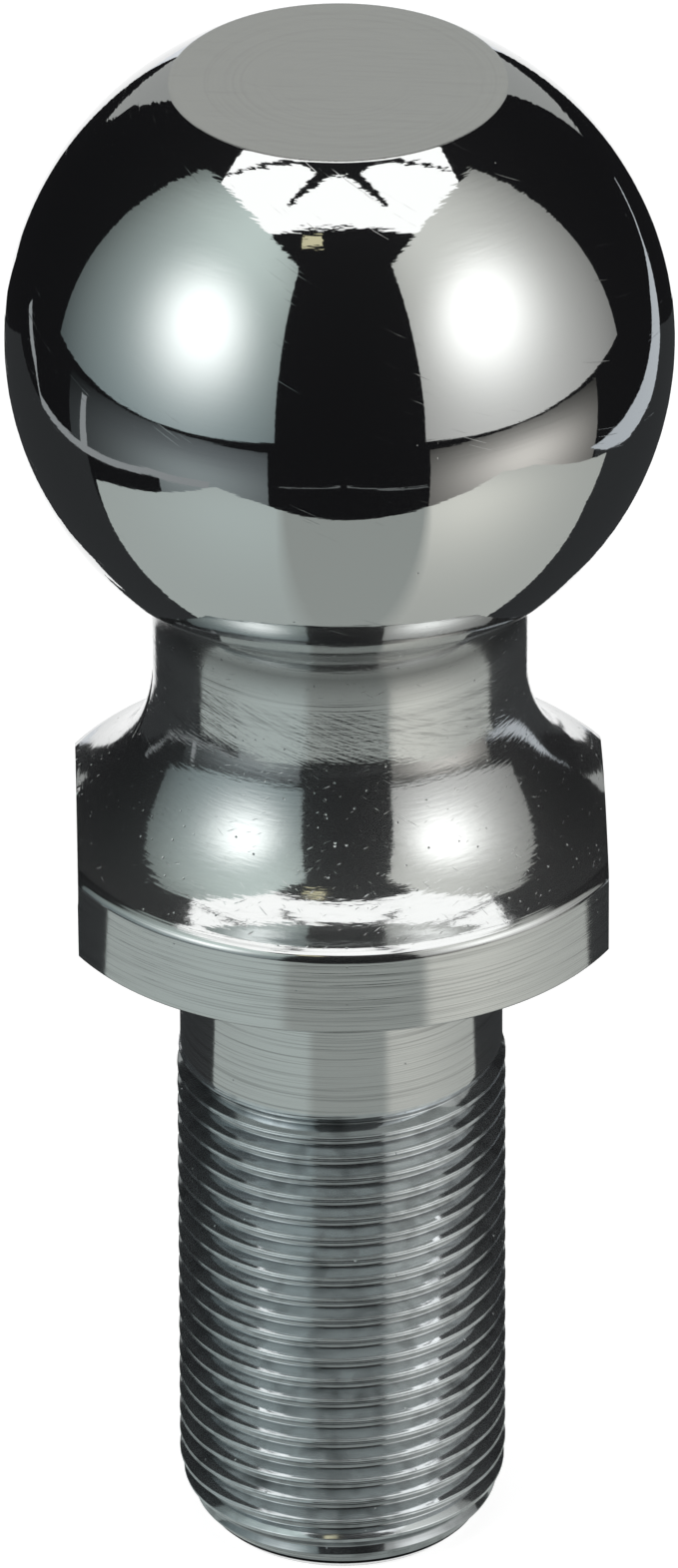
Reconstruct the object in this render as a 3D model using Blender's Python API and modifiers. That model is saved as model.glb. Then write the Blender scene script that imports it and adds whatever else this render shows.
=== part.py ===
"""Threaded tow ball: one piece of forged, turned and chromed steel. Metres, +Z up, on its shank's end.

The ball has a machined flat on top and sits on a waisted neck. The neck flares out into a clamping
flange, which has two spanner flats and a flat seat underneath. The shank below the seat is a plain
collar and then a right-hand thread down to a rounded and chamfered end.
"""

import math

import bmesh
import bpy

# Ball: its diameter, the flat on top, and the small break on the flat's edge
BALL_DIAMETER = 0.0508
TOP_FLAT_DIAMETER = 0.0254
TOP_EDGE_BREAK = 0.0002

# Neck: a straight waist, a fillet up to the ball, and a concave flare down to the flange
NECK_DIAMETER = 0.0286
NECK_LENGTH = 0.0065
BALL_FILLET_RADIUS = 0.0044
FLARE_RADIUS = 0.0135

# Flange: a sloping shoulder rounded into a straight rim, a fine chamfer below, two spanner flats
FLANGE_DIAMETER = 0.0460
RIM_HEIGHT = 0.0061
RIM_TOP_RADIUS = 0.0008
SHOULDER_WIDTH = 0.0005
SHOULDER_SLOPE = math.radians(35)
RIM_FOOT_CHAMFER = 0.0002
SPANNER_FLAT_DEPTH = 0.0028

# Shank: its length under the seat, the plain collar, the 1 inch thread (14 turns to the inch), and
# the rounded end
SHANK_LENGTH = 0.0554
COLLAR_DIAMETER = 0.0248
COLLAR_LENGTH = 0.0134
SEAT_FILLET_RADIUS = 0.0008
THREAD_DIAMETER = 0.0253
THREAD_PITCH = 0.001814
THREAD_DEPTH = 0.0009
FIRST_CREST_RISE = 0.00036
THREAD_START_BEVEL = 0.0006
END_ROUND_DEPTH = 0.0020
END_ROUND_RADIUS = 0.0067
END_CHAMFER = 0.0008

# Smoothness: facets in a full turn, and how far a facet may lie inside the arc that it stands for
TURN_FACETS = 60
ARC_TOLERANCE = 0.00004

# Points nearer than this are one point
WELD_DISTANCE = 0.000005

# Room that the cutters keep past the metal they cut, and what the die takes off the crests
CUTTER_MARGIN = 0.002
CREST_ALLOWANCE = 0.00005

# Places along the axis, from the shank's end upwards
seat_z = SHANK_LENGTH
rim_top_z = seat_z + RIM_HEIGHT
flange_radius = FLANGE_DIAMETER / 2
neck_radius = NECK_DIAMETER / 2
shoulder_turn = math.pi / 2 - SHOULDER_SLOPE
shoulder_foot_z = rim_top_z + RIM_TOP_RADIUS * math.sin(shoulder_turn)
shoulder_foot_radius = flange_radius - RIM_TOP_RADIUS * (1 - math.cos(shoulder_turn))
flare_foot_z = shoulder_foot_z + SHOULDER_WIDTH * math.tan(SHOULDER_SLOPE)
flare_foot_radius = shoulder_foot_radius - SHOULDER_WIDTH
flare_turn = math.acos(1 - (flare_foot_radius - neck_radius) / FLARE_RADIUS)
neck_foot_z = flare_foot_z + FLARE_RADIUS * math.sin(flare_turn)
neck_top_z = neck_foot_z + NECK_LENGTH
ball_radius = BALL_DIAMETER / 2
ball_foot_radius = neck_radius + BALL_FILLET_RADIUS
ball_foot_z = neck_top_z + BALL_FILLET_RADIUS
ball_centre_z = ball_foot_z + math.sqrt(ball_radius**2 - ball_foot_radius**2)
flat_radius = TOP_FLAT_DIAMETER / 2
top_z = ball_centre_z + math.sqrt(ball_radius**2 - flat_radius**2)
collar_foot_z = seat_z - COLLAR_LENGTH
thread_top_z = collar_foot_z - THREAD_START_BEVEL / 2
thread_radius = THREAD_DIAMETER / 2
spanner_flat_x = flange_radius - SPANNER_FLAT_DEPTH


def arc(centre_radius, centre_z, radius, start, end):
    """Points (radius, z) along an arc, both ends included, with angles in radians from outwards."""
    facet_turn = 2 * math.acos(1 - ARC_TOLERANCE / radius)
    facets = max(2, math.ceil(abs(end - start) / facet_turn))
    turns = [start + (end - start) * i / facets for i in range(facets + 1)]
    return [
        (centre_radius + radius * math.cos(turn), centre_z + radius * math.sin(turn))
        for turn in turns
    ]


def ball_profile():
    """From the middle of the flat on top, over its edge and down the ball to its foot."""
    break_turn = math.acos((flat_radius + TOP_EDGE_BREAK) / ball_radius)
    foot_turn = -math.acos(ball_foot_radius / ball_radius)
    rim = [(0.0, top_z), (flat_radius - TOP_EDGE_BREAK, top_z)]
    upper = arc(0.0, ball_centre_z, ball_radius, break_turn, 0.0)
    lower = arc(0.0, ball_centre_z, ball_radius, 0.0, foot_turn)
    return rim + upper + lower[1:]


def neck_profile():
    """The fillet under the ball, the straight waist, and the flare out to the flange."""
    fillet = arc(
        neck_radius + BALL_FILLET_RADIUS,
        neck_top_z,
        BALL_FILLET_RADIUS,
        math.pi / 2,
        math.pi,
    )
    flare = arc(
        neck_radius + FLARE_RADIUS,
        neck_foot_z,
        FLARE_RADIUS,
        math.pi,
        math.pi + flare_turn,
    )
    return fillet[1:] + flare


def flange_profile():
    """The shoulder rounded into the rim, its lower chamfer, and the seat in to the shank's fillet."""
    collar_radius = COLLAR_DIAMETER / 2
    rounding = arc(
        flange_radius - RIM_TOP_RADIUS,
        rim_top_z,
        RIM_TOP_RADIUS,
        shoulder_turn,
        0.0,
    )
    fillet = arc(
        collar_radius + SEAT_FILLET_RADIUS,
        seat_z - SEAT_FILLET_RADIUS,
        SEAT_FILLET_RADIUS,
        math.pi / 2,
        math.pi,
    )
    rim_foot = [
        (flange_radius, seat_z + RIM_FOOT_CHAMFER),
        (flange_radius - RIM_FOOT_CHAMFER, seat_z),
    ]
    return rounding + rim_foot + fillet


def shank_profile():
    """The collar's foot, the blank that the thread is cut from, and the rounded end."""
    collar_radius = COLLAR_DIAMETER / 2
    blank_radius = thread_radius + CREST_ALLOWANCE
    round_foot_radius = blank_radius - END_ROUND_DEPTH
    round_turn = math.acos(1 - END_ROUND_DEPTH / END_ROUND_RADIUS)
    round_top_z = END_CHAMFER + END_ROUND_RADIUS * math.sin(round_turn)
    end = arc(
        blank_radius - END_ROUND_RADIUS,
        round_top_z,
        END_ROUND_RADIUS,
        0.0,
        -round_turn,
    )
    return (
        [(collar_radius, collar_foot_z), (blank_radius, collar_foot_z - THREAD_START_BEVEL)]
        + end
        + [(round_foot_radius - END_CHAMFER, 0.0), (0.0, 0.0)]
    )


def turned_solid(name, points, collection, rise=0.0):
    """What a profile down the outer side sweeps in one turn about Z, with a rise if it is a thread."""
    mesh = bpy.data.meshes.new(name)
    edges = [(i, i + 1) for i in range(len(points) - 1)]
    mesh.from_pydata([(radius, 0.0, z) for radius, z in points], edges, [])
    turned = bpy.data.objects.new(name, mesh)
    collection.objects.link(turned)
    screw = turned.modifiers.new("Turn", "SCREW")
    screw.axis = "Z"
    screw.steps = TURN_FACETS
    screw.render_steps = TURN_FACETS
    screw.screw_offset = rise
    screw.use_merge_vertices = rise == 0.0
    screw.merge_threshold = WELD_DISTANCE
    return turned


def evaluated_mesh(thing):
    """A mesh of its own with the modifiers applied."""
    bpy.context.view_layer.update()
    seen = thing.evaluated_get(bpy.context.evaluated_depsgraph_get())
    return bpy.data.meshes.new_from_object(seen)


def threaded_bar(name, collection):
    """A bar with the right-hand thread, which reaches past both ends of the thread on the shank."""
    bar_top_z = thread_top_z + CUTTER_MARGIN
    spare_turns = math.ceil(CUTTER_MARGIN / THREAD_PITCH)
    first_crest_z = collar_foot_z + FIRST_CREST_RISE + spare_turns * THREAD_PITCH
    turns = math.ceil((first_crest_z + CUTTER_MARGIN) / THREAD_PITCH) + 2
    points = []
    for turn in range(turns):
        crest_z = first_crest_z - turn * THREAD_PITCH
        points.append((thread_radius, crest_z))
        points.append((thread_radius - THREAD_DEPTH, crest_z - THREAD_PITCH / 2))
    bar = turned_solid(name, points, collection, rise=THREAD_PITCH)
    gather(bar, collection)

    shape = bmesh.new()
    shape.from_mesh(evaluated_mesh(bar))
    bmesh.ops.remove_doubles(shape, verts=shape.verts, dist=WELD_DISTANCE)
    for z, outwards in ((bar_top_z, 1), (-CUTTER_MARGIN, -1)):
        bmesh.ops.bisect_plane(
            shape,
            geom=shape.verts[:] + shape.edges[:] + shape.faces[:],
            plane_co=(0.0, 0.0, z),
            plane_no=(0.0, 0.0, outwards),
            clear_outer=True,
        )
    bmesh.ops.holes_fill(shape, edges=shape.edges)
    bmesh.ops.recalc_face_normals(shape, faces=shape.faces)
    bar.modifiers.clear()
    shape.to_mesh(bar.data)
    shape.free()
    return bar


def thread_die(collection):
    """The die that cuts the thread: a ring round the shank, whose bore is the thread itself."""
    bar = threaded_bar("threaded_bar", collection)
    low_z = -CUTTER_MARGIN / 2
    bpy.ops.mesh.primitive_cylinder_add(
        vertices=TURN_FACETS,
        radius=thread_radius + CUTTER_MARGIN,
        depth=thread_top_z - low_z,
        location=(0.0, 0.0, (thread_top_z + low_z) / 2),
    )
    die = bpy.context.object
    die.name = "thread_die"
    gather(die, collection)
    cut(die, bar)
    return die


def spanner_cutter(name, side, collection):
    """A block that mills one spanner flat, from under the seat to the middle of the neck."""
    low_z = seat_z - CUTTER_MARGIN
    high_z = neck_foot_z + NECK_LENGTH / 2
    depth = SPANNER_FLAT_DEPTH + CUTTER_MARGIN
    bpy.ops.mesh.primitive_cube_add(size=1.0)
    cutter = bpy.context.object
    cutter.name = name
    cutter.dimensions = (depth, FLANGE_DIAMETER + 2 * CUTTER_MARGIN, high_z - low_z)
    cutter.location = (side * (spanner_flat_x + depth / 2), 0.0, (low_z + high_z) / 2)
    bpy.ops.object.transform_apply(location=False, rotation=False, scale=True)
    gather(cutter, collection)
    return cutter


def gather(cutter, collection):
    """Puts a new cutter with the others, drawn as wire."""
    for holder in list(cutter.users_collection):
        holder.objects.unlink(cutter)
    collection.objects.link(cutter)
    cutter.display_type = "WIRE"
    cutter.hide_render = True


def cut(solid, cutter):
    """Takes the cutter's shape out of the solid."""
    boolean = solid.modifiers.new(cutter.name, "BOOLEAN")
    boolean.operation = "DIFFERENCE"
    boolean.solver = "EXACT"
    boolean.object = cutter


def metal(name, colour, roughness):
    """A bare or plated metal finish."""
    material = bpy.data.materials.new(name)
    material.use_nodes = True
    shader = material.node_tree.nodes["Principled BSDF"]
    shader.inputs["Base Color"].default_value = (*colour, 1.0)
    shader.inputs["Metallic"].default_value = 1.0
    shader.inputs["Roughness"].default_value = roughness
    return material


def finish_of(face):
    """The finish's place in the material list, by where the face is on the piece."""
    polished, faced, turned, threaded = range(4)
    if face.center.z > top_z - TOP_EDGE_BREAK / 2:
        return faced
    if face.center.z > neck_top_z:
        return polished
    if face.center.z > neck_foot_z:
        return turned
    if face.center.z > rim_top_z and abs(face.normal.x) < 0.99:
        return polished
    if face.center.z > collar_foot_z - THREAD_START_BEVEL:
        return turned
    return threaded


def main():
    for old in list(bpy.data.objects):
        bpy.data.objects.remove(old)
    parts = bpy.data.collections.new("Threaded tow ball")
    cutters = bpy.data.collections.new("Cutters")
    bpy.context.scene.collection.children.link(parts)
    bpy.context.scene.collection.children.link(cutters)

    profile = ball_profile() + neck_profile() + flange_profile() + shank_profile()
    tow_ball = turned_solid("tow_ball", profile, parts)
    for name, side in (("spanner_cutter_left", -1), ("spanner_cutter_right", 1)):
        cut(tow_ball, spanner_cutter(name, side, cutters))
    cut(tow_ball, thread_die(cutters))
    tow_ball.data = evaluated_mesh(tow_ball)
    tow_ball.modifiers.clear()
    tow_ball.data.shade_smooth()
    tow_ball.data.set_sharp_from_angle(angle=math.radians(20))

    tow_ball.data.materials.clear()
    tow_ball.data.materials.append(metal("Polished chrome", (0.60, 0.61, 0.61), 0.06))
    tow_ball.data.materials.append(metal("Faced flat", (0.42, 0.43, 0.42), 0.45))
    tow_ball.data.materials.append(metal("Turned steel", (0.52, 0.53, 0.52), 0.25))
    tow_ball.data.materials.append(metal("Rolled thread", (0.45, 0.47, 0.47), 0.22))
    for face in tow_ball.data.polygons:
        face.material_index = finish_of(face)


main()
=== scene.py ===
import math

import bmesh
import bpy
from mathutils import Matrix, Vector


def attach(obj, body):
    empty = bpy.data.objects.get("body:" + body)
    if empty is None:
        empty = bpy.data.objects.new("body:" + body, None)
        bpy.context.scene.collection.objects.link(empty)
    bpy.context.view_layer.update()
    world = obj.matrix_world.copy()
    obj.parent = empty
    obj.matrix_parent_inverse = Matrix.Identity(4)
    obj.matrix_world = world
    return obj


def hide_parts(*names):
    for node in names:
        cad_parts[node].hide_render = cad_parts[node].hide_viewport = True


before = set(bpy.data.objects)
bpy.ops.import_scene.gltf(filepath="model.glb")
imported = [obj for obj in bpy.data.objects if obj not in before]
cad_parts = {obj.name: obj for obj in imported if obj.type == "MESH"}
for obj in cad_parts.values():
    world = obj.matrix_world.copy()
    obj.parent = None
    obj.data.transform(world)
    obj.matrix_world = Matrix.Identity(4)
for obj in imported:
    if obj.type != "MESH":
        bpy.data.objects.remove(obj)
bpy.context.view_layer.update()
scene = bpy.context.scene


# The photograph's view: a long lens from 1.7 m away, looking down at the ball from the front.
# The camera stands about a degree to the side, and the picture leans by a fifth of one.
BALL_CENTRE = Vector((0.0, 0.0, 0.10286))
VIEW_DISTANCE = 1.684
VIEW_TURN = math.radians(-1.1)
VIEW_HEIGHT = math.radians(28.55)
AIM_DOWN = math.radians(29.695)
AIM_TURN = math.radians(-1.0956)
AIM_ROLL = math.radians(-0.19)
PICTURE_ROWS = 1571
LENS_ROWS = 22315
PICTURE_HEIGHT_MM = 36.0

camera = bpy.data.objects.new("camera", bpy.data.cameras.new("camera"))
scene.collection.objects.link(camera)
scene.camera = camera
camera.data.sensor_fit = "VERTICAL"
camera.data.sensor_height = PICTURE_HEIGHT_MM
camera.data.lens = LENS_ROWS / PICTURE_ROWS * PICTURE_HEIGHT_MM
camera.data.clip_start = 0.05
camera.data.clip_end = 20.0
stand_off = Matrix.Rotation(VIEW_TURN, 3, "Z") @ Vector(
    (0.0, -math.cos(VIEW_HEIGHT), math.sin(VIEW_HEIGHT))
)
camera.matrix_world = (
    Matrix.Translation(BALL_CENTRE + VIEW_DISTANCE * stand_off)
    @ Matrix.Rotation(AIM_TURN, 4, "Z")
    @ Matrix.Rotation(math.pi / 2 - AIM_DOWN, 4, "X")
    @ Matrix.Rotation(AIM_ROLL, 4, "Z")
)


# Ball: the 50.8 mm sphere that the coupler closes over, forged with the rest from one steel bar,
# turned, polished and plated with bright chrome. Its top is faced off to a 25.4 mm flat.
BALL_RADIUS = 0.0254
TOP_Z = 0.1248565
TOP_RINGS = (0.0040, 0.0080, 0.0115)
FLAT_RADIUS = 0.0127
FLAT_EDGE_BREAK = 0.00018
BALL_FOOT_RADIUS = 0.0187
CHROME = (0.60, 0.61, 0.61)
SATIN_CHROME = (0.69, 0.695, 0.675)

# the plating's detail: how many waves and pits lie along a metre, and what they do
WAVES_PER_M = 1400.0
PITS_PER_M = 1300.0
PIT_RADIUS = 0.13
PIT_DEPTH = 0.00004
PIT_SHADE = 0.3
SCRATCH_ONSET = 12.0
PATTERN_STEP = 7.3
# roughness added with the painted shade in the crook under the ball
CROOK_ROUGHNESS = 0.12
HAZE_ROUGHNESS = 0.55
LEAST_ROUGHNESS = 0.02
DARKEST_SHADE = 0.05


def arc(centre_r, centre_z, radius, start, end, steps):
    """Points (r, z) along an arc of the turned outline, angles in degrees from outwards."""
    turns = [math.radians(start + (end - start) * i / steps) for i in range(steps + 1)]
    return [(centre_r + radius * math.cos(t), centre_z + radius * math.sin(t)) for t in turns]


def broken_edge(before, corner, after, size, steps=4):
    """A small rounding that takes the place of a corner of the outline."""
    corner = Vector(corner)
    start = corner + (Vector(before) - corner).normalized() * size
    end = corner + (Vector(after) - corner).normalized() * size
    points = []
    for i in range(steps + 1):
        t = i / steps
        points.append(tuple(start * (1 - t) ** 2 + corner * 2 * t * (1 - t) + end * t**2))
    return points


def feed(tree, value, socket):
    """Gives a socket its number or its colour, or links a node's output to it."""
    if isinstance(value, bpy.types.NodeSocket):
        tree.links.new(value, socket)
    elif isinstance(value, tuple):
        socket.default_value = (*value, 1.0)
    else:
        socket.default_value = value


def calculator(tree):
    """A function that adds a Math node to the node tree and returns its output."""

    def calc(operation, *values):
        node = tree.nodes.new("ShaderNodeMath")
        node.operation = operation
        for socket, value in zip(node.inputs, values):
            feed(tree, value, socket)
        return node.outputs[0]

    return calc


def clamped(calc, value):
    """A value held between 0 and 1."""
    return calc("MAXIMUM", calc("MINIMUM", value, 1.0), 0.0)


def mark(across, width, length, depth, tilt=0.0, rough=0.0, dark=0.0, band=None, rare=None):
    """Fine lines that a tool or use has left, in metres: across "z", "r" or "y", tilted along x.

    band is (low, high, soft), the heights that they keep to. With rare they are lone scratches.
    """
    return dict(
        across=across, width=width, length=length, depth=depth, tilt=tilt, rough=rough, dark=dark,
        band=band, rare=rare,
    )


def metal(name, rough, haze, colour, marks, grain, pits, root=None, crook_shade=None):
    """Plated steel: how rough it is, the share of haze over its mirror, and the marks on it.

    grain is the height of its fine waves, and pits the share of its cells that hold a pit. root is
    (low, high, kept): radii between which the thread's root is darkened with painted shade. The
    last argument is (start, peak, end, kept): heights between which the crook under the ball is
    darkened with painted shade and made rougher.
    """
    material = bpy.data.materials.new(name)
    material.use_nodes = True
    tree = material.node_tree
    nodes, links = tree.nodes, tree.links
    calc = calculator(tree)
    place = nodes.new("ShaderNodeTexCoord").outputs["Object"]
    split = nodes.new("ShaderNodeSeparateXYZ")
    links.new(place, split.inputs[0])
    x, y, z = split.outputs
    radius = calc("SQRT", calc("ADD", calc("MULTIPLY", x, x), calc("MULTIPLY", y, y)))
    height, roughness, shade = 0.0, rough, 1.0

    for i, m in enumerate(marks):
        across = {"z": z, "r": radius, "y": y}[m["across"]]
        along = z if m["across"] == "y" else y
        slanted = calc("ADD", across, calc("MULTIPLY", x, m["tilt"]))
        over = calc("ADD", calc("DIVIDE", slanted, m["width"]), PATTERN_STEP * i)
        joined = nodes.new("ShaderNodeCombineXYZ")
        links.new(calc("DIVIDE", x, m["length"]), joined.inputs[0])
        links.new(calc("DIVIDE", along, m["length"]), joined.inputs[1])
        links.new(over, joined.inputs[2])
        lines = nodes.new("ShaderNodeTexNoise")
        lines.inputs["Scale"].default_value = 1.0
        lines.inputs["Detail"].default_value = 2.0
        links.new(joined.outputs[0], lines.inputs["Vector"])
        if m["rare"]:
            above = calc("SUBTRACT", lines.outputs["Fac"], m["rare"])
            share = clamped(calc, calc("MULTIPLY", above, SCRATCH_ONSET))
        else:
            share = calc("SUBTRACT", lines.outputs["Fac"], 0.5)
        if m["band"]:
            low, high, soft = m["band"]
            into = calc("DIVIDE", calc("SUBTRACT", z, low), soft)
            out_of = calc("DIVIDE", calc("SUBTRACT", high, z), soft)
            share = calc("MULTIPLY", share, clamped(calc, calc("MINIMUM", into, out_of)))
        height = calc("ADD", height, calc("MULTIPLY", share, m["depth"]))
        if m["rough"]:
            roughness = calc("ADD", roughness, calc("MULTIPLY", share, m["rough"]))
        if m["dark"]:
            darker = calc("MULTIPLY", calc("MAXIMUM", share, 0.0), m["dark"])
            shade = calc("SUBTRACT", shade, darker)

    waves = nodes.new("ShaderNodeTexNoise")
    waves.inputs["Scale"].default_value = WAVES_PER_M
    waves.inputs["Detail"].default_value = 3.0
    links.new(place, waves.inputs["Vector"])
    height = calc("ADD", height, calc("MULTIPLY", waves.outputs["Fac"], grain))

    cells = nodes.new("ShaderNodeTexVoronoi")
    cells.inputs["Scale"].default_value = PITS_PER_M
    links.new(place, cells.inputs["Vector"])
    draw = nodes.new("ShaderNodeSeparateColor")
    links.new(cells.outputs["Color"], draw.inputs[0])
    chosen = calc("LESS_THAN", draw.outputs[0], pits)
    from_middle = calc("DIVIDE", cells.outputs["Distance"], PIT_RADIUS)
    pit = calc("MULTIPLY", clamped(calc, calc("SUBTRACT", 1.0, from_middle)), chosen)
    height = calc("SUBTRACT", height, calc("MULTIPLY", pit, PIT_DEPTH))
    shade = calc("SUBTRACT", shade, calc("MULTIPLY", pit, PIT_SHADE))

    # painted shade that darkens the thread towards the root of its turns
    if root:
        low, high, kept = root
        unshaded = clamped(calc, calc("DIVIDE", calc("SUBTRACT", radius, low), high - low))
        shade = calc("MULTIPLY", shade, calc("ADD", kept, calc("MULTIPLY", unshaded, 1.0 - kept)))
    # painted shade in the crook under the ball, which is also made rougher there
    if crook_shade:
        start, peak, end, kept = crook_shade
        into = calc("DIVIDE", calc("SUBTRACT", z, start), peak - start)
        out_of = calc("DIVIDE", calc("SUBTRACT", end, z), end - peak)
        in_crook = clamped(calc, calc("MINIMUM", into, out_of))
        shade = calc("MULTIPLY", shade, calc("SUBTRACT", 1.0, calc("MULTIPLY", in_crook, 1.0 - kept)))
        roughness = calc("ADD", roughness, calc("MULTIPLY", in_crook, CROOK_ROUGHNESS))

    grey = nodes.new("ShaderNodeCombineColor")
    for socket in grey.inputs:
        links.new(calc("MAXIMUM", shade, DARKEST_SHADE), socket)
    tone = nodes.new("ShaderNodeMix")
    tone.data_type = "RGBA"
    tone.blend_type = "MULTIPLY"
    tone.inputs["Factor"].default_value = 1.0
    feed(tree, colour, tone.inputs["A"])
    links.new(grey.outputs[0], tone.inputs["B"])
    bump = nodes.new("ShaderNodeBump")
    bump.inputs["Strength"].default_value = 1.0
    bump.inputs["Distance"].default_value = 1.0
    links.new(height, bump.inputs["Height"])

    # a sharp mirror, and over a small share of it the wide haze that fine scratches leave
    mirror = nodes["Principled BSDF"]
    veil = nodes.new("ShaderNodeBsdfPrincipled")
    for layer in (mirror, veil):
        layer.inputs["Metallic"].default_value = 1.0
        links.new(tone.outputs["Result"], layer.inputs["Base Color"])
        links.new(bump.outputs[0], layer.inputs["Normal"])
    links.new(calc("MAXIMUM", roughness, LEAST_ROUGHNESS), mirror.inputs["Roughness"])
    veil.inputs["Roughness"].default_value = HAZE_ROUGHNESS
    both = nodes.new("ShaderNodeMixShader")
    both.inputs[0].default_value = haze
    links.new(mirror.outputs[0], both.inputs[1])
    links.new(veil.outputs[0], both.inputs[2])
    links.new(both.outputs[0], nodes["Material Output"].inputs["Surface"])
    return material


chrome = metal(
    "polished_chrome", 0.030, 0.008, CHROME,
    [
        mark("z", 0.00030, 0.012, 0.0000012, rough=0.02),
        mark("z", 0.00032, 0.0022, 0.0000075, band=(0.1165, 0.1300, 0.004)),
        mark("z", 0.00060, 0.006, 0.0000060, band=(0.0700, 0.0990, 0.006)),
        mark("z", 0.00012, 0.006, 0.0000020, tilt=0.5, rough=0.15, rare=0.70),
    ],
    grain=0.0000012, pits=0.015,
)
faced = metal(
    "faced_flat", 0.24, 0.10, SATIN_CHROME,
    [
        mark("r", 0.00020, 0.030, 0.0000040, rough=0.05, dark=0.18),
        mark("y", 0.00040, 0.006, 0.0000020, tilt=0.1, rough=0.05, dark=0.15),
        mark("y", 0.00015, 0.006, 0.0000050, tilt=0.7, dark=0.10, rare=0.70),
    ],
    grain=0.0000015, pits=0.02,
)

break_foot = math.degrees(math.acos((FLAT_RADIUS + FLAT_EDGE_BREAK * 0.5) / BALL_RADIUS))
ball_foot = -math.degrees(math.acos(BALL_FOOT_RADIUS / BALL_RADIUS))
ball_arc = arc(0.0, BALL_CENTRE.z, BALL_RADIUS, break_foot, ball_foot, 60)
flat_corner = (FLAT_RADIUS, TOP_Z)
top_edge = broken_edge((0.0, TOP_Z), flat_corner, ball_arc[1], FLAT_EDGE_BREAK)
top_outline = [(r, TOP_Z) for r in TOP_RINGS] + top_edge[:-1]
ball_outline = [top_edge[-1]] + ball_arc[1:-1]


# Neck and flange: the waist under the ball flares out into the clamping flange, whose rim is
# turned and chamfered. Two spanner flats are milled off its sides, up into the flare.
NECK_RADIUS = 0.0143
NECK_FOOT_Z = 0.07477
NECK_TOP_Z = 0.08127
FILLET_RADIUS = 0.0044
FILLET_FOOT_Z = 0.0795
CREASE_BREAK = 0.0003
NECK_RINGS_Z = (FILLET_FOOT_Z - 0.0010, NECK_FOOT_Z + 0.0015)
FLARE_RADIUS = 0.0135
FLARE_RINGS = 12
FLANGE_RADIUS = 0.0230
RIM_TOP_Z = 0.0615
SEAT_Z = 0.0554
RIM_TOP_RADIUS = 0.0008
SHOULDER_WIDTH = 0.0005
SHOULDER_SLOPE = 35.0
RIM_FOOT_CHAMFER = 0.0002
RIM_FOOT_BREAK = 0.00008
SPANNER_FLAT_X = 0.0202
EDGE_BREAK = 0.00014

# crossing strokes over the neck's foot, and painted shade with more roughness in the crook under
# the ball
HATCH = mark(
    "z", 0.00024, 0.0028, 0.0000180, tilt=0.38, rough=0.15, dark=1.2, band=(0.0735, 0.0786, 0.0008)
)
CROOK_SHADE = (0.0786, 0.0814, 0.0838, 0.42)

necked = metal(
    "turned_neck", 0.12, 0.10, CHROME,
    [
        mark("z", 0.00024, 0.020, 0.0000100, rough=0.08, dark=0.6),
        mark("z", 0.00013, 0.008, 0.0000040, rough=0.08, dark=0.3),
        HATCH,
    ],
    grain=0.000003, pits=0.05, crook_shade=CROOK_SHADE,
)
flared = metal(
    "flared_chrome", 0.075, 0.10, CHROME,
    [
        mark("z", 0.00022, 0.0018, 0.0000110, rough=0.05, dark=0.15),
        HATCH,
        mark("z", 0.00014, 0.0011, 0.0000070, tilt=-0.4, rough=0.28, dark=0.1, rare=0.69),
        mark("z", 0.00013, 0.0014, 0.0000060, tilt=0.7, rough=0.25, dark=0.2, rare=0.71),
    ],
    grain=0.0000040, pits=0.35, crook_shade=CROOK_SHADE,
)
turned = metal(
    "turned_rim", 0.085, 0.06, CHROME,
    [
        mark("z", 0.00015, 0.016, 0.0000180, rough=0.05, dark=1.5),
        mark("z", 0.00045, 0.006, 0.0000080, rough=0.05, dark=0.2),
    ],
    grain=0.0000020, pits=0.04,
)
milled = metal(
    "milled_flat", 0.12, 0.08, CHROME,
    [mark("y", 0.00020, 0.015, 0.0000080, rough=0.06, dark=0.4)],
    grain=0.0000020, pits=0.04,
)

# the fillet is drawn out downwards from its top, so that it meets the neck at its foot
ball_foot_point = (BALL_FOOT_RADIUS, NECK_TOP_Z + FILLET_RADIUS)
round_fillet = arc(NECK_RADIUS + FILLET_RADIUS, NECK_TOP_Z, FILLET_RADIUS, 90, 180, 16)
stretch = (ball_foot_point[1] - FILLET_FOOT_Z) / FILLET_RADIUS
fillet = [(r, ball_foot_point[1] - (ball_foot_point[1] - z) * stretch) for r, z in round_fillet]
crease = broken_edge(ball_arc[-2], ball_foot_point, fillet[1], CREASE_BREAK)
fillet_outline = crease + fillet[1:]
neck_outline = [(NECK_RADIUS, z) for z in NECK_RINGS_Z]

rim_centre_r = FLANGE_RADIUS - RIM_TOP_RADIUS
rim_rounding = arc(rim_centre_r, RIM_TOP_Z, RIM_TOP_RADIUS, 90 - SHOULDER_SLOPE, 0, 8)
shoulder_fall = SHOULDER_WIDTH * math.tan(math.radians(SHOULDER_SLOPE))
flare_foot = (rim_rounding[0][0] - SHOULDER_WIDTH, rim_rounding[0][1] + shoulder_fall)
flare_centre_r = NECK_RADIUS + FLARE_RADIUS
flat_turn = math.degrees(math.acos(1 - (SPANNER_FLAT_X - NECK_RADIUS) / FLARE_RADIUS))
flare = arc(flare_centre_r, NECK_FOOT_Z, FLARE_RADIUS, 180, 180 + flat_turn, 22)

# below the point where the spanner flats begin, the rings follow even steps along their edge
widest = math.sqrt(flare_foot[0] ** 2 - SPANNER_FLAT_X**2)
for i in range(1, FLARE_RINGS):
    r = math.hypot(SPANNER_FLAT_X, widest * i / FLARE_RINGS)
    turn = math.acos(1 - (r - NECK_RADIUS) / FLARE_RADIUS)
    flare.append((r, NECK_FOOT_Z - FLARE_RADIUS * math.sin(turn)))
flare_outline = flare + broken_edge(flare[-1], flare_foot, rim_rounding[0], EDGE_BREAK)

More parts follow.
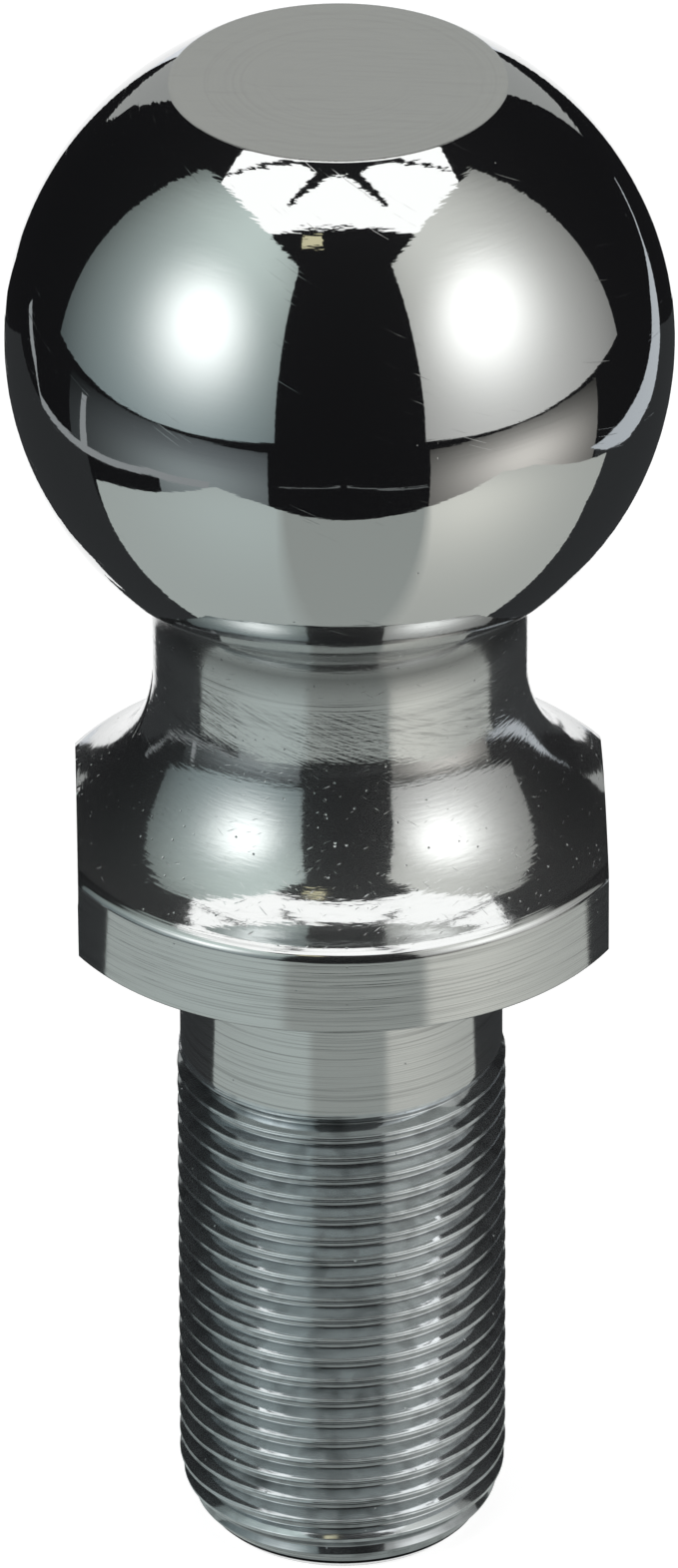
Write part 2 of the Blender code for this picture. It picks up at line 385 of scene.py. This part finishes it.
rim_top = (FLANGE_RADIUS, RIM_TOP_Z)
rim_foot = (FLANGE_RADIUS, SEAT_Z + RIM_FOOT_CHAMFER)
seat_edge = (FLANGE_RADIUS - RIM_FOOT_CHAMFER, SEAT_Z)
foot_rounding = broken_edge(rim_top, rim_foot, seat_edge, RIM_FOOT_BREAK, 2)
rim_outline = rim_rounding + foot_rounding + [seat_edge]


# Shank: goes down through the drawbar and takes the nut. Under the seat it is a plain collar,
# then a rolled 1 inch thread, 14 to the inch, which runs out at the collar and at the round end.
SEAT_RINGS = (0.0193, 0.0160)
SEAT_FILLET = 0.0008
COLLAR_RADIUS = 0.0124
COLLAR_FOOT_Z = 0.0420
COLLAR_RINGS_Z = (SEAT_Z - 0.0030, COLLAR_FOOT_Z + 0.0030, COLLAR_FOOT_Z + 0.0006)
THREAD_RADIUS = 0.01265
THREAD_DEPTH = 0.0009
PITCH = 0.001814
CREST_Z = 0.0401
RUN_OUT_Z = 0.0408
END_ROUND = 0.0067
END_ROUND_FOOT = (0.0107, 0.0008)
END_FACE_OUTLINE = [(0.0100, 0.00008), (0.0098, 0.0), (0.0050, 0.0)]
END_THREAD_DEPTH = 0.0006
END_THREAD_FADE = 0.0012
THREAD_GREY = (0.60, 0.63, 0.65)

# half of one turn's outline: mm from the crest's middle, and depth as a share of the whole
THREAD_FORM = [
    (0.02, 0.06), (0.06, 0.045), (0.105, 0.0), (0.14, 0.012), (0.17, 0.05), (0.20, 0.11),
    (0.66, 0.88), (0.71, 0.955), (0.76, 0.99), (0.82, 1.0),
]
MM = 0.001

rolled = metal(
    "rolled_thread", 0.085, 0.15, THREAD_GREY,
    [
        mark("z", 0.00035, 0.006, 0.0000040, tilt=0.02, rough=0.08, dark=0.5),
        mark("y", 0.00120, 0.004, 0.0000060, tilt=0.3, rough=0.08, dark=0.8),
        mark("z", 0.00400, 0.0022, 0.0000040, rough=0.10, dark=1.3),
    ],
    # painted shade in the thread's root
    grain=0.0000010, pits=0.10, root=(0.01178, 0.01215, 0.75),
)
seat_fillet = arc(COLLAR_RADIUS + SEAT_FILLET, SEAT_Z - SEAT_FILLET, SEAT_FILLET, 90, 180, 8)
seat_outline = [(r, SEAT_Z) for r in SEAT_RINGS] + seat_fillet
collar_outline = [(COLLAR_RADIUS, z) for z in COLLAR_RINGS_Z]


def end_radius(z):
    """How far out the rounded end lets the thread reach at height z."""
    centre_r = THREAD_RADIUS - END_ROUND
    foot_drop = math.sqrt(END_ROUND**2 - (END_ROUND_FOOT[0] - centre_r) ** 2)
    round_top = END_ROUND_FOOT[1] + foot_drop
    if z >= round_top:
        return THREAD_RADIUS
    return centre_r + math.sqrt(END_ROUND**2 - (round_top - z) ** 2)


def thread_radius(share, z):
    """Radius of the thread at height z, for a share of its depth, with run-out at both ends."""
    start = min(1.0, max(0.0, (COLLAR_FOOT_Z - z) / (COLLAR_FOOT_Z - RUN_OUT_Z)))
    cut = start * start * (3 - 2 * start)
    raised = THREAD_RADIUS - COLLAR_RADIUS
    full = COLLAR_RADIUS + cut * (raised - THREAD_DEPTH * share)
    fade = min(1.0, (z - END_ROUND_FOOT[1]) / END_THREAD_FADE)
    return min(full, end_radius(z) - END_THREAD_DEPTH * share * fade)


# The forging: one closed mesh of the whole piece. Every ring has the same columns: the front and
# back arcs, and between them those of the spanner flats, which close to a point above the flats.
ARC_COLUMNS = 60
FLAT_COLUMNS = 12
COLUMNS = 2 * (ARC_COLUMNS + FLAT_COLUMNS)
SAME_PLACE = 1e-7
SAME_HEIGHT = 0.00003
body_mesh = bmesh.new()
finishes = [chrome, faced, necked, flared, turned, milled, rolled]


def clipped_ring(r, reach):
    """Places (x, y) round a circle that flats at x = reach cut, from the left round the front."""
    if r <= reach:
        half, y = math.pi / 2, 0.0
    else:
        half = math.asin(reach / r)
        y = r * math.cos(half)
    front = [-half + 2 * half * i / ARC_COLUMNS for i in range(ARC_COLUMNS)]
    places = [(r * math.sin(a), -r * math.cos(a)) for a in front]
    side = min(r, reach)
    places += [(side, -y + 2 * y * i / FLAT_COLUMNS) for i in range(FLAT_COLUMNS)]
    return places + [(-px, -py) for px, py in places]


def add_ring(places, z):
    """Vertices at the places, where places that coincide share one vertex."""
    ring = []
    for px, py in places:
        last = ring[-1] if ring else None
        if last is not None and abs(last.co.x - px) + abs(last.co.y - py) < SAME_PLACE:
            ring.append(last)
        else:
            ring.append(body_mesh.verts.new((px, py, z)))
    return ring


def close_face(corners, finish):
    """A face from its corners, leaving out those that fall together."""
    kept = [v for i, v in enumerate(corners) if v is not corners[i - 1]]
    if len(set(kept)) < 3:
        return
    face = body_mesh.faces.new(kept)
    face.material_index = finishes.index(finish)
    face.smooth = True


def bridge(upper, lower, finish, flat_finish=None):
    """Faces between two rings, with a finish of their own on the spanner flats."""
    for i in range(COLUMNS):
        k = (i + 1) % COLUMNS
        on_flat = i % (ARC_COLUMNS + FLAT_COLUMNS) >= ARC_COLUMNS
        picked = flat_finish if on_flat and flat_finish else finish
        close_face([upper[i], lower[i], lower[k], upper[k]], picked)


last_ring = None
top_middle = body_mesh.verts.new((0.0, 0.0, TOP_Z))
for outline, finish in (
    (top_outline, faced),
    (ball_outline, chrome),
    (fillet_outline, flared),
    (neck_outline, necked),
    (flare_outline, flared),
    (rim_outline, turned),
):
    reach = SPANNER_FLAT_X if outline[0][1] < NECK_TOP_Z else BALL_RADIUS
    for r, z in outline:
        ring = add_ring(clipped_ring(r, reach), z)
        if last_ring is None:
            for i in range(COLUMNS):
                close_face([top_middle, ring[i], ring[(i + 1) % COLUMNS]], finish)
        else:
            bridge(last_ring, ring, finish, milled if r > reach else None)
        last_ring = ring

# under the seat the columns keep the bearings that they have on the rim
bearings = [math.atan2(v.co.x, -v.co.y) for v in last_ring]


def round_places(r):
    """Places (x, y) on a circle, at the columns' bearings."""
    return [(r * math.sin(a), -r * math.cos(a)) for a in bearings]


for r, z in seat_outline + collar_outline + [(COLLAR_RADIUS, COLLAR_FOOT_Z)]:
    ring = add_ring(round_places(r), z)
    bridge(last_ring, ring, turned)
    last_ring = ring
collar_foot = last_ring
end_ring = add_ring(round_places(END_ROUND_FOOT[0]), END_ROUND_FOOT[1])


def thread_vertex(share, column, z):
    """A vertex of a helical row. Past the thread's ends it falls onto the collar or the end."""
    if z > COLLAR_FOOT_Z - SAME_HEIGHT:
        return collar_foot[column]
    if z < END_ROUND_FOOT[1] + SAME_HEIGHT:
        return end_ring[column]
    r, a = thread_radius(share, z), bearings[column]
    return body_mesh.verts.new((r * math.sin(a), -r * math.cos(a), z))


# the thread's rows follow the helix, and each row's last column meets the first one a turn above
form_rows = [(distance, share) for distance, share in reversed(THREAD_FORM)]
form_rows += [(-distance, share) for distance, share in THREAD_FORM]
rows = []
for turn in range(-2, int(CREST_Z / PITCH) + 3):
    for offset, share in form_rows:
        row = []
        for i, a in enumerate(bearings):
            around = (a - bearings[0]) % (2 * math.pi) + bearings[0]
            z = CREST_Z + PITCH * (around / (2 * math.pi) - turn) + offset * MM
            row.append(thread_vertex(share, i, z))
        rows.append(row)

per_turn = len(form_rows)
for n in range(per_turn, len(rows) - 1):
    upper = rows[n] + rows[n - per_turn][:1]
    lower = rows[n + 1] + rows[n + 1 - per_turn][:1]
    for i in range(COLUMNS):
        close_face([upper[i], lower[i], lower[i + 1], upper[i + 1]], rolled)

last_ring = end_ring
for r, z in END_FACE_OUTLINE:
    ring = add_ring(round_places(r), z)
    bridge(last_ring, ring, turned)
    last_ring = ring
end_middle = body_mesh.verts.new((0.0, 0.0, 0.0))
for i in range(COLUMNS):
    close_face([last_ring[i], end_middle, last_ring[(i + 1) % COLUMNS]], turned)

loose = [v for v in body_mesh.verts if not v.link_faces]
bmesh.ops.delete(body_mesh, geom=loose, context="VERTS")
bmesh.ops.recalc_face_normals(body_mesh, faces=body_mesh.faces)

# the milled flats' edges are broken
milled_index = finishes.index(milled)
flat_edges = [
    edge for edge in body_mesh.edges
    if sum(face.material_index == milled_index for face in edge.link_faces) == 1
]
bmesh.ops.bevel(
    body_mesh, geom=flat_edges, offset=EDGE_BREAK, segments=2, profile=0.5, affect="EDGES",
    clamp_overlap=True,
)

mesh = bpy.data.meshes.new("tow_ball_forging")
body_mesh.to_mesh(mesh)
body_mesh.free()
for finish in finishes:
    mesh.materials.append(finish)
forging = bpy.data.objects.new("tow_ball_forging", mesh)
scene.collection.objects.link(forging)
forging.modifiers.new("weigh_normals", "WEIGHTED_NORMAL")
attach(forging, "root")
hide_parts("tow_ball")


# Floor: a pale sheet under the ball and behind it, which also is the white that the metal mirrors.
# It lies a hair under the shank's end and keeps the ball's shadow.
FLOOR_REACH = 4.0
FLOOR_GAP = 0.00005
FLOOR_GREY = (0.35, 0.35, 0.35)
FLOOR_GLOW = (0.78, 0.78, 0.78)


def bare_material(name):
    """A new material that has no nodes yet."""
    material = bpy.data.materials.new(name)
    material.use_nodes = True
    material.node_tree.nodes.clear()
    return material


def glow(tree, colour, strength=1.0):
    """Light that a surface gives off."""
    node = tree.nodes.new("ShaderNodeEmission")
    feed(tree, colour, node.inputs["Color"])
    feed(tree, strength, node.inputs["Strength"])
    return node.outputs[0]


def added(tree, first, second):
    """Two shaders, one on top of the other."""
    node = tree.nodes.new("ShaderNodeAddShader")
    tree.links.new(first, node.inputs[0])
    tree.links.new(second, node.inputs[1])
    return node.outputs[0]


def cover(tree, shader):
    """Gives the surface its shader."""
    out = tree.nodes.new("ShaderNodeOutputMaterial")
    tree.links.new(shader, out.inputs["Surface"])


def seen(tree):
    """1 where the camera looks, also by way of metal or through glass, and 0 for other light."""
    calc = calculator(tree)
    path = tree.nodes.new("ShaderNodeLightPath")
    looked_at = calc("MAXIMUM", path.outputs["Is Camera Ray"], path.outputs["Is Glossy Ray"])
    return calc("MAXIMUM", looked_at, path.outputs["Is Transmission Ray"])


floor_mesh = bpy.data.meshes.new("floor")
floor_corners = ((-1, -1), (1, -1), (1, 1), (-1, 1))
floor_mesh.from_pydata(
    [(x * FLOOR_REACH, y * FLOOR_REACH, 0.0) for x, y in floor_corners], [], [(0, 1, 2, 3)]
)
floor = bpy.data.objects.new("floor", floor_mesh)
scene.collection.objects.link(floor)
floor.location.z = -FLOOR_GAP
pale = bare_material("pale_floor")
tree = pale.node_tree
sheet = tree.nodes.new("ShaderNodeBsdfDiffuse")
feed(tree, FLOOR_GREY, sheet.inputs["Color"])
pick = tree.nodes.new("ShaderNodeMixShader")
tree.links.new(seen(tree), pick.inputs[0])
tree.links.new(sheet.outputs[0], pick.inputs[1])
tree.links.new(added(tree, sheet.outputs[0], glow(tree, FLOOR_GLOW)), pick.inputs[2])
cover(tree, pick.outputs[0])
floor_mesh.materials.append(pale)


# World: white to the camera, in metal and in glass, and a plain dim sky for all other light.
# Its light has no direction, as in a room with white walls.
SKY_LEVEL = 0.6

world = bpy.data.worlds.new("studio")
scene.world = world
world.use_nodes = True
tree = world.node_tree
sky = tree.nodes["Background"]
level = tree.nodes.new("ShaderNodeMapRange")
level.inputs["To Min"].default_value = SKY_LEVEL
level.inputs["To Max"].default_value = 1.0
tree.links.new(seen(tree), level.inputs["Value"])
tree.links.new(level.outputs[0], sky.inputs["Strength"])
feed(tree, (1.0, 1.0, 1.0), sky.inputs["Color"])


# Soft panels: two upright white ones, left and right of the ball, each with its lamp's bright
# middle. As all cards of the studio, they show in the metal, and the camera looks past them.
PANEL_DISTANCE = 0.52
SHADE_FOOT = -0.18
SHADE_TOP = 1.2
LAMP_WHITE = (1.0, 1.0, 0.99)


def card(name, corners, material):
    """A flat screen with any number of corners that only mirrors see."""
    mesh = bpy.data.meshes.new(name)
    mesh.from_pydata(corners, [], [tuple(range(len(corners)))])
    mesh.materials.append(material)
    screen = bpy.data.objects.new(name, mesh)
    scene.collection.objects.link(screen)
    screen.visible_camera = False
    screen.visible_diffuse = False
    screen.visible_shadow = False


def bell(calc, away, width):
    """How strong a light is away from its middle: 1 there, falling off by its width."""
    scaled = calc("DIVIDE", away, width)
    return calc("EXPONENT", calc("MULTIPLY", calc("MULTIPLY", scaled, scaled), -1.0))


def panel_glow(name, centre, across, hot, low, high, edge_width, hot_level, hot_width):
    """A panel that is low at its foot and high at its top, and falls off to its sides.

    hot is the place of its lamp's bright middle. Places and widths are in panel distances.
    """
    material = bare_material(name)
    tree = material.node_tree
    nodes, links = tree.nodes, tree.links
    calc = calculator(tree)
    offset = nodes.new("ShaderNodeVectorMath")
    offset.operation = "SUBTRACT"
    links.new(nodes.new("ShaderNodeNewGeometry").outputs["Position"], offset.inputs[0])
    offset.inputs[1].default_value = centre
    along = nodes.new("ShaderNodeVectorMath")
    along.operation = "DOT_PRODUCT"
    links.new(offset.outputs["Vector"], along.inputs[0])
    along.inputs[1].default_value = across
    split = nodes.new("ShaderNodeSeparateXYZ")
    links.new(offset.outputs["Vector"], split.inputs[0])
    side = calc("SUBTRACT", calc("DIVIDE", along.outputs["Value"], PANEL_DISTANCE), hot[0])
    rise = calc("DIVIDE", split.outputs["Z"], PANEL_DISTANCE)
    height = nodes.new("ShaderNodeMapRange")
    links.new(rise, height.inputs["Value"])
    height.inputs["From Min"].default_value = SHADE_FOOT
    height.inputs["From Max"].default_value = SHADE_TOP
    shade = nodes.new("ShaderNodeMix")
    shade.data_type = "RGBA"
    links.new(height.outputs[0], shade.inputs["Factor"])
    feed(tree, low, shade.inputs["A"])
    feed(tree, high, shade.inputs["B"])
    base = glow(tree, shade.outputs["Result"], bell(calc, side, edge_width))
    up = calc("SUBTRACT", rise, hot[1])
    spot = calc("MULTIPLY", bell(calc, side, hot_width[0]), bell(calc, up, hot_width[1]))
    lamp = glow(tree, LAMP_WHITE, calc("MULTIPLY", spot, hot_level))
    cover(tree, added(tree, base, lamp))
    return material


def soft_panel(name, bearing, reach, foot, top, **light):
    """An upright panel that faces the ball. reach, foot and top are in panel distances."""
    a = math.radians(bearing)
    across = Vector((math.cos(a), math.sin(a), 0.0))
    upwards = Vector((0.0, 0.0, 1.0))
    centre = BALL_CENTRE + PANEL_DISTANCE * Vector((math.sin(a), -math.cos(a), 0.0))
    corners = [
        centre + PANEL_DISTANCE * (across * s + upwards * h)
        for s, h in ((-reach, foot), (reach, foot), (reach, top), (-reach, top))
    ]
    card(name, corners, panel_glow(name, centre, across, **light))


soft_panel(
    "left_panel", -65.5, 0.95, -0.194, 1.70,
    hot=(0.22, 0.44), low=(0.36, 0.44, 0.45), high=(0.80, 0.92, 0.88),
    edge_width=1.06, hot_level=1.55, hot_width=(0.33, 0.36),
)
soft_panel(
    "right_panel", 66.5, 0.83, -0.194, 1.60,
    hot=(-0.20, 0.48), low=(0.72, 0.72, 0.70), high=(0.92, 0.93, 0.88),
    edge_width=1.11, hot_level=1.45, hot_width=(0.37, 0.38),
)


# Overhead: a white panel that narrows to the back, the hub and legs of its frame, a small warm
# lamp in front of it, and a dark ceiling over it.
WALL = 0.75
BACK = 0.9
CEILING = BALL_CENTRE.z + 1.05
CEILING_REACH = 1.2
LAYER = 0.01


def plain_glow(name, colour, strength=1.0):
    """An even light of one colour."""
    material = bare_material(name)
    cover(material.node_tree, glow(material.node_tree, colour, strength))
    return material


def level_card(name, places, z, material):
    """A card that lies level at height z."""
    card(name, [(x, y, z) for x, y in places], material)


def at_bearing(bearing, distance):
    """The place at a bearing from the front, in degrees towards the right."""
    a = math.radians(bearing)
    return Vector((distance * math.sin(a), -distance * math.cos(a)))


white = plain_glow("overhead_white", LAMP_WHITE, 1.65)
warm = plain_glow("warm_lamp", (0.86, 0.80, 0.52))
dark = plain_glow("dark_cloth", (0.0085, 0.0085, 0.0095))

overhead_front = [(-WALL, -0.455), (WALL, -0.455), (WALL, 0.05), (-WALL, 0.05)]
overhead_back = [(-WALL, 0.05), (WALL, 0.05), (0.44, 0.47), (-0.36, 0.42)]
level_card("overhead_front", overhead_front, CEILING, white)
level_card("overhead_back", overhead_back, CEILING, white)
ceiling = [(x * CEILING_REACH, y * CEILING_REACH) for x, y in floor_corners]
level_card("ceiling", ceiling, CEILING + LAYER, dark)
hub = [(-0.21, 0.03), (-0.10, -0.085), (0.10, -0.085), (0.21, 0.03), (0.12, 0.10), (-0.12, 0.10)]
level_card("hub", hub, CEILING - LAYER, dark)
for bearing, length, width in (
    (-50, 0.40, 0.020), (46, 0.39, 0.020), (-101, 0.79, 0.012), (101, 0.79, 0.012)
):
    tip, aside = at_bearing(bearing, length), at_bearing(bearing + 90, width)
    leg = [-2 * aside, tip - 0.6 * aside, tip + 0.6 * aside, 2 * aside]
    level_card("leg", leg, CEILING - LAYER, dark)
warm_lamp = [(-0.265, -0.60), (-0.115, -0.60), (-0.115, -0.50), (-0.245, -0.50)]
level_card("warm_lamp", warm_lamp, CEILING - 2 * LAYER, warm)


# Walls: dark cloths all round, and before the back one a grey wall with a pale foot. They stand
# just over the floor.
WALL_FOOT = 0.0005
WALL_TOP = 1.2
BACK_STEP = 0.005


def upright_card(name, start, end, foot, top, material):
    """A card that stands on the line from start to end."""
    card(name, [(*start, foot), (*end, foot), (*end, top), (*start, top)], material)


grey = plain_glow("grey_wall", (0.42, 0.43, 0.42))
pale_wall = plain_glow("pale_wall", (0.92, 0.95, 1.0))
upright_card("front_cloth", (-WALL, -WALL), (WALL, -WALL), WALL_FOOT, WALL_TOP, dark)
upright_card("left_cloth", (-WALL, -WALL), (-WALL, BACK), WALL_FOOT, WALL_TOP, dark)
upright_card("right_cloth", (WALL, -WALL), (WALL, BACK), WALL_FOOT, WALL_TOP, dark)
upright_card("back_cloth", (-WALL, BACK), (WALL, BACK), 0.0, WALL_TOP, dark)
grey_shape = [
    (-0.44, 0.11), (0.55, 0.11), (0.59, WALL_TOP), (-0.65, WALL_TOP), (-0.58, 0.61), (-0.495, 0.27)
]
card("back_wall", [(x, BACK - BACK_STEP, z) for x, z in grey_shape], grey)
foot_y = BACK - 2 * BACK_STEP
upright_card("back_foot", (-0.22, foot_y), (0.22, foot_y), 0.0, 0.20, pale_wall)


# Board: a grey satin board under the ball, in which the two panels show as pools of light and as
# an even sheen, and round it the pools that they throw on the floor.
BOARD_GREY = (0.405, 0.435, 0.415)
UNLIT = (0.0, 0.0, 0.0)
SECTOR_EDGE = 0.010
POOL_END = 0.502
BOARD_Z = 0.0010
HEM_Z = 0.0009
HEM_WIDTH = 0.006
POOL_Z = 0.0008


def pooled(name, middle, spots):
    """A sheet of one grey with pools of light on it.

    A spot is (x, y, width, colour, sector). A sector is (direction, slant, sheen): the pool and an
    even sheen lie only to that side of a slanting line.
    """
    material = bare_material(name)
    tree = material.node_tree
    calc = calculator(tree)
    split = tree.nodes.new("ShaderNodeSeparateXYZ")
    tree.links.new(tree.nodes.new("ShaderNodeNewGeometry").outputs["Position"], split.inputs[0])
    x, y = split.outputs[:2]
    total = glow(tree, middle)
    for spot_x, spot_y, width, colour, sector in spots:
        along_x = bell(calc, calc("SUBTRACT", x, spot_x), width)
        along_y = bell(calc, calc("SUBTRACT", y, spot_y), width)
        pool = calc("MULTIPLY", along_x, along_y)
        if sector:
            direction, slant, sheen = sector
            past = calc("ADD", calc("MULTIPLY", x, direction), calc("MULTIPLY", y, slant))
            inside = clamped(calc, calc("DIVIDE", past, SECTOR_EDGE))
            pool = calc("MULTIPLY", pool, inside)
            total = added(tree, total, glow(tree, sheen, inside))
        total = added(tree, total, glow(tree, colour, pool))
    cover(tree, total)
    return material


board = pooled(
    "grey_board", BOARD_GREY,
    [
        (-0.09, -0.13, 0.10, (0.10, 0.13, 0.13), (-1.0, 0.34, (0.085, 0.10, 0.10))),
        (0.115, -0.13, 0.09, (0.42, 0.40, 0.36), (1.0, 0.50, (0.13, 0.12, 0.11))),
    ],
)
board_edge = [
    (-0.154, 0.005), (-0.157, -0.020), (-0.146, -0.165), (-0.086, -0.172), (-0.043, -0.165),
    (0.010, -0.161), (0.100, -0.157), (0.188, -0.142), (0.204, -0.097), (0.172, 0.030),
    (0.120, 0.018), (0.047, 0.018), (-0.045, 0.016),
]
level_card("board", board_edge, BOARD_Z, board)

left_pool = pooled(
    "left_pool", UNLIT,
    [
        (-0.17, -0.15, 0.10, (0.20, 0.23, 0.23), None),
        (-0.25, -0.25, 0.25, (0.16, 0.18, 0.19), None),
    ],
)
right_pool = pooled(
    "right_pool", UNLIT,
    [
        (0.22, -0.12, 0.10, (0.68, 0.65, 0.61), None),
        (0.30, -0.20, 0.20, (0.36, 0.35, 0.33), None),
    ],
)
for name, pool, bearing, step, starts in (
    ("left_pool", left_pool, -100, 19, (0.205, 0.205, 0.16, 0.16)),
    ("right_pool", right_pool, 28, 16, (0.16, 0.16, 0.16, 0.16)),
):
    for start in starts:
        corners = ((bearing, start), (bearing + step, start), (bearing + step, POOL_END),
                   (bearing, POOL_END))
        level_card(name, [at_bearing(*corner) for corner in corners], POOL_Z, pool)
        bearing += step

hem = plain_glow("hem", (0.16, 0.17, 0.17))
for start, end in (((-0.087, -0.233), (-0.004, -0.262)), ((0.006, -0.262), (0.111, -0.210))):
    places = [start, end, (end[0], end[1] - HEM_WIDTH), (start[0], start[1] - HEM_WIDTH)]
    level_card("hem", places, HEM_Z, hem)


# Floor cloths: dark in front and at both sides, where they leave a pale lane open behind the
# ball, and dim ones next to the board.
DIM_Z = 0.0007
DARK_Z = 0.0006
NEAR_Y = 0.042
LANE_Y = 0.28
LANE_REACH = 0.095

dim = plain_glow("dim_cloth", (0.034, 0.036, 0.038))
front_floor = [(-WALL, -WALL), (WALL, -WALL), (WALL, NEAR_Y), (-WALL, NEAR_Y)]
level_card("front_floor", front_floor, DARK_Z, dark)
for name, places in (
    ("dim_left", [(-0.20, 0.010), (-0.045, 0.010), (-0.045, 0.075), (-0.058, 0.080),
                  (-0.065, 0.20), (-0.20, 0.20)]),
    ("dim_right", [(0.045, 0.010), (0.20, 0.010), (0.20, 0.20), (0.045, 0.20)]),
    ("dim_near", [(-0.045, 0.010), (0.045, 0.010), (0.045, 0.092), (-0.045, 0.092)]),
):
    level_card(name, places, DIM_Z, dim)
for name, side, reach in (("left", -1, 0.062), ("right", 1, 0.045)):
    near = [(WALL, NEAR_Y), (reach, NEAR_Y), (reach, 0.165), (LANE_REACH, LANE_Y), (WALL, LANE_Y)]
    far = [(WALL, LANE_Y), (LANE_REACH, LANE_Y), (0.15, 0.52), (0.22, BACK), (WALL, BACK)]
    level_card("dark_" + name, [(side * x, y) for x, y in near], DARK_Z, dark)
    level_card("far_" + name, [(side * x, y) for x, y in far], DARK_Z, dark)


# Bands: pale strips at the left and right, where the floor's sheet ends, each given by its outer
# and its inner line from one end to the other.
BAND_Z = 0.0012

band = plain_glow("pale_band", (0.36, 0.38, 0.39))
bright_band = plain_glow("bright_band", (0.62, 0.66, 0.70))
left_outer = [
    (-0.345, 0.290), (-0.268, 0.160), (-0.212, 0.112), (-0.206, 0.0), (-0.202, -0.090),
    (-0.160, -0.170),
]
left_inner = [
    (-0.300, 0.265), (-0.240, 0.145), (-0.195, 0.100), (-0.190, 0.0), (-0.186, -0.085),
    (-0.146, -0.150),
]
right_outer = [
    (0.200, 0.000), (0.205, 0.060), (0.215, 0.120), (0.240, 0.180), (0.298, 0.270),
    (0.345, 0.400), (0.592, 0.86),
]
right_inner = [
    (0.176, 0.030), (0.160, 0.070), (0.158, 0.125), (0.185, 0.185), (0.255, 0.290),
    (0.332, 0.405), (0.580, 0.87),
]
stripe_outer = [(-0.390, 0.026), (-0.205, 0.020)]
stripe_inner = [(-0.390, 0.010), (-0.205, 0.008)]
for name, outer, inner, light in (
    ("left_band", left_outer, left_inner, band),
    ("right_band", right_outer, right_inner, bright_band),
    ("left_stripe", stripe_outer, stripe_inner, band),
):
    for k in range(len(outer) - 1):
        level_card(name, [outer[k], outer[k + 1], inner[k + 1], inner[k]], BAND_Z, light)


# Lamps: two soft ones in front give the plain light that matt surfaces and the floor's shadow
# need. The metal doesn't mirror them.
LAMP_SIZE = 0.9

for name, place, power in (
    ("key_lamp", (-0.9, -1.0, 1.2), 14.0),
    ("fill_lamp", (1.0, -0.9, 1.2), 10.0),
):
    lamp = bpy.data.objects.new(name, bpy.data.lights.new(name, "AREA"))
    lamp.data.size = LAMP_SIZE
    lamp.data.energy = power
    lamp.location = place
    lamp.rotation_euler = (BALL_CENTRE - Vector(place)).to_track_quat("-Z", "Y").to_euler()
    lamp.visible_glossy = False
    scene.collection.objects.link(lamp)

scene.view_settings.view_transform = "Standard"
